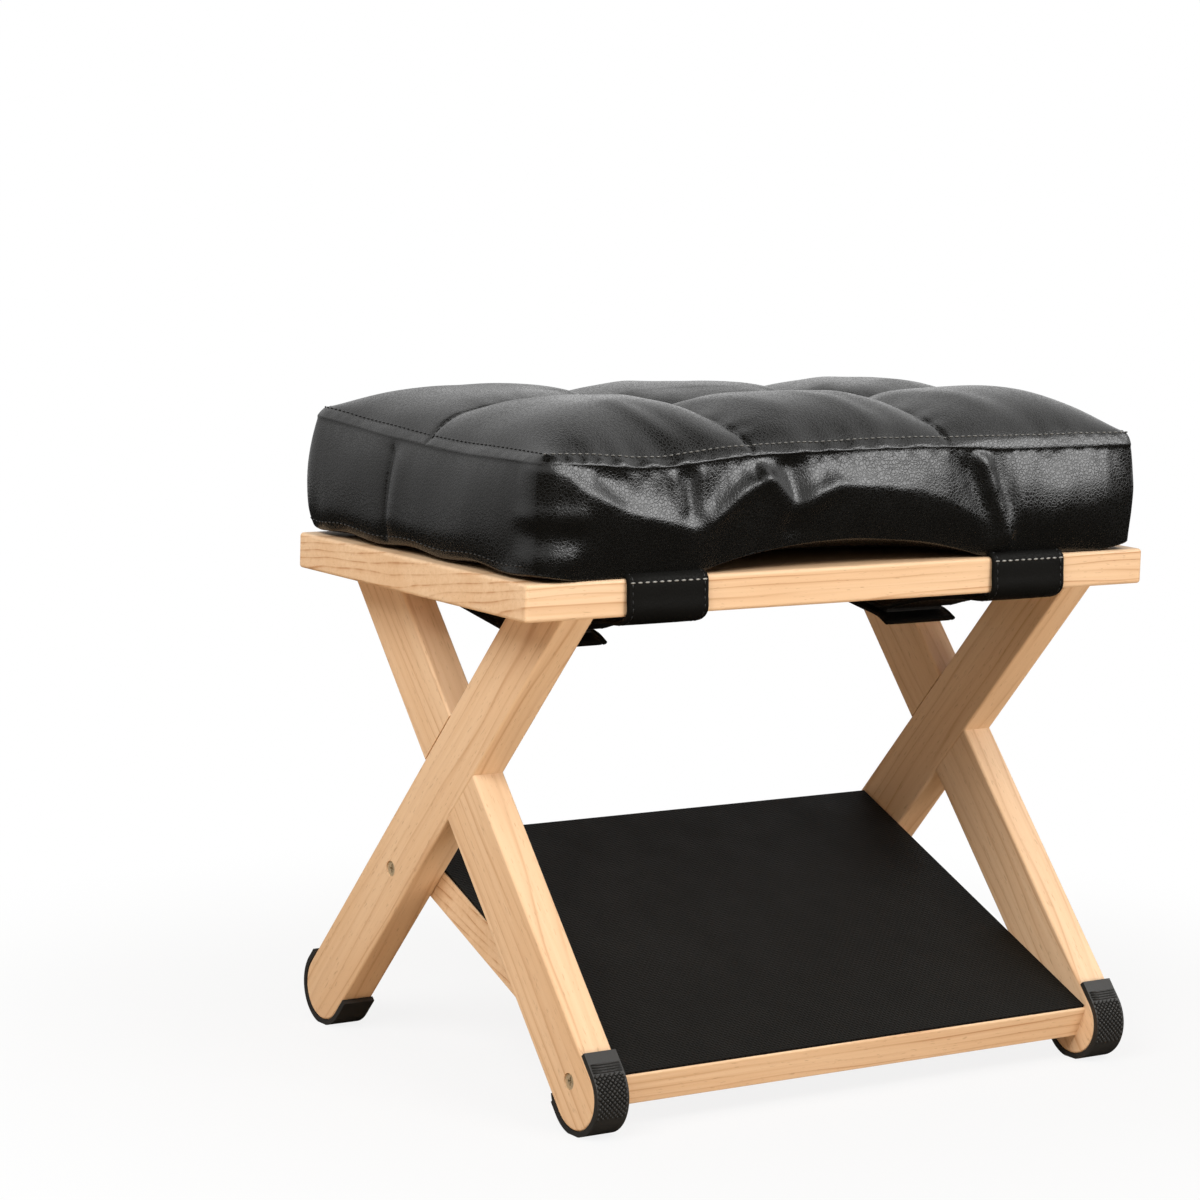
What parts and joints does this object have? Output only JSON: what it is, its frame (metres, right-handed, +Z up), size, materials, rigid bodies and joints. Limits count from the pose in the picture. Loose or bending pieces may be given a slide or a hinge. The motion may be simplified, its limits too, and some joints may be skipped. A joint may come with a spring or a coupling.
{
  "type": "wooden footrest",
  "caption": "Footrest with a wooden top board on crossed legs, a slanting footboard with a non-slip mat, and a tufted box cushion held on by straps.",
  "frame": {"origin": "on the floor, below the middle of the top board", "axes": "+X along the top board, -Y towards the low front edge of the footboard, +Z up"},
  "size_m": [0.42, 0.3076, 0.3804],
  "materials": {
    "beech_wood": "satin",
    "foot_rubber": "matte",
    "mat_rubber": "matte",
    "bronzed_screws": "satin",
    "steel_screws": "satin",
    "cover_leatherette": "satin",
    "strap_leatherette": "satin",
    "cushion_foam": "matte",
    "hook_and_loop": "matte"
  },
  "bodies": {
    "frame": {"top_board": "beech_wood", "left_front_leg": "beech_wood", "left_rear_leg": "beech_wood", "right_front_leg": "beech_wood", "right_rear_leg": "beech_wood", "left_front_foot_strip": "foot_rubber", "left_rear_foot_strip": "foot_rubber", "right_front_foot_strip": "foot_rubber", "right_rear_foot_strip": "foot_rubber", "footboard": "beech_wood", "footboard_mat": "mat_rubber", "footboard_screws": "bronzed_screws", "board_screws": "steel_screws"},
    "cushion": {"cushion_cover": "cover_leatherette", "cushion_foam": "cushion_foam", "left_front_strap": "strap_leatherette", "left_rear_strap": "strap_leatherette", "right_front_strap": "strap_leatherette", "right_rear_strap": "strap_leatherette"},
    "left_rear_flap": {"left_rear_strap_flap": "strap_leatherette", "left_hook_patch": "hook_and_loop"},
    "left_front_flap": {"left_front_strap_flap": "strap_leatherette", "left_loop_patch": "hook_and_loop"},
    "right_rear_flap": {"right_rear_strap_flap": "strap_leatherette", "right_hook_patch": "hook_and_loop"},
    "right_front_flap": {"right_front_strap_flap": "strap_leatherette", "right_loop_patch": "hook_and_loop"}
  },
  "joints": [
    {"name": "cushion_lift", "type": "slide", "parent": "frame", "child": "cushion", "axis": [0, 0, 1], "range_m": [0, 0.18], "deforming": ["left_front_strap_flap", "left_rear_strap_flap", "right_front_strap_flap", "right_rear_strap_flap", "left_hook_patch", "right_hook_patch", "left_loop_patch", "right_loop_patch"]},
    {"name": "left_rear_flap_hinge", "type": "hinge", "parent": "cushion", "child": "left_rear_flap", "pos_m": [-0.123, 0.11965, 0.2673], "axis": [1, 0, 0], "range_deg": [0, 78]},
    {"name": "left_front_flap_hinge", "type": "hinge", "parent": "cushion", "child": "left_front_flap", "pos_m": [-0.123, -0.11965, 0.2673], "axis": [-1, 0, 0], "range_deg": [0, 78]},
    {"name": "right_rear_flap_hinge", "type": "hinge", "parent": "cushion", "child": "right_rear_flap", "pos_m": [0.123, 0.11965, 0.2673], "axis": [1, 0, 0], "range_deg": [0, 78]},
    {"name": "right_front_flap_hinge", "type": "hinge", "parent": "cushion", "child": "right_front_flap", "pos_m": [0.123, -0.11965, 0.2673], "axis": [-1, 0, 0], "range_deg": [0, 78]}
  ],
  "couplings": [
    {"joint": "left_front_flap_hinge", "follows": "left_rear_flap_hinge", "ratio": 1},
    {"joint": "right_front_flap_hinge", "follows": "right_rear_flap_hinge", "ratio": 1}
  ]
}
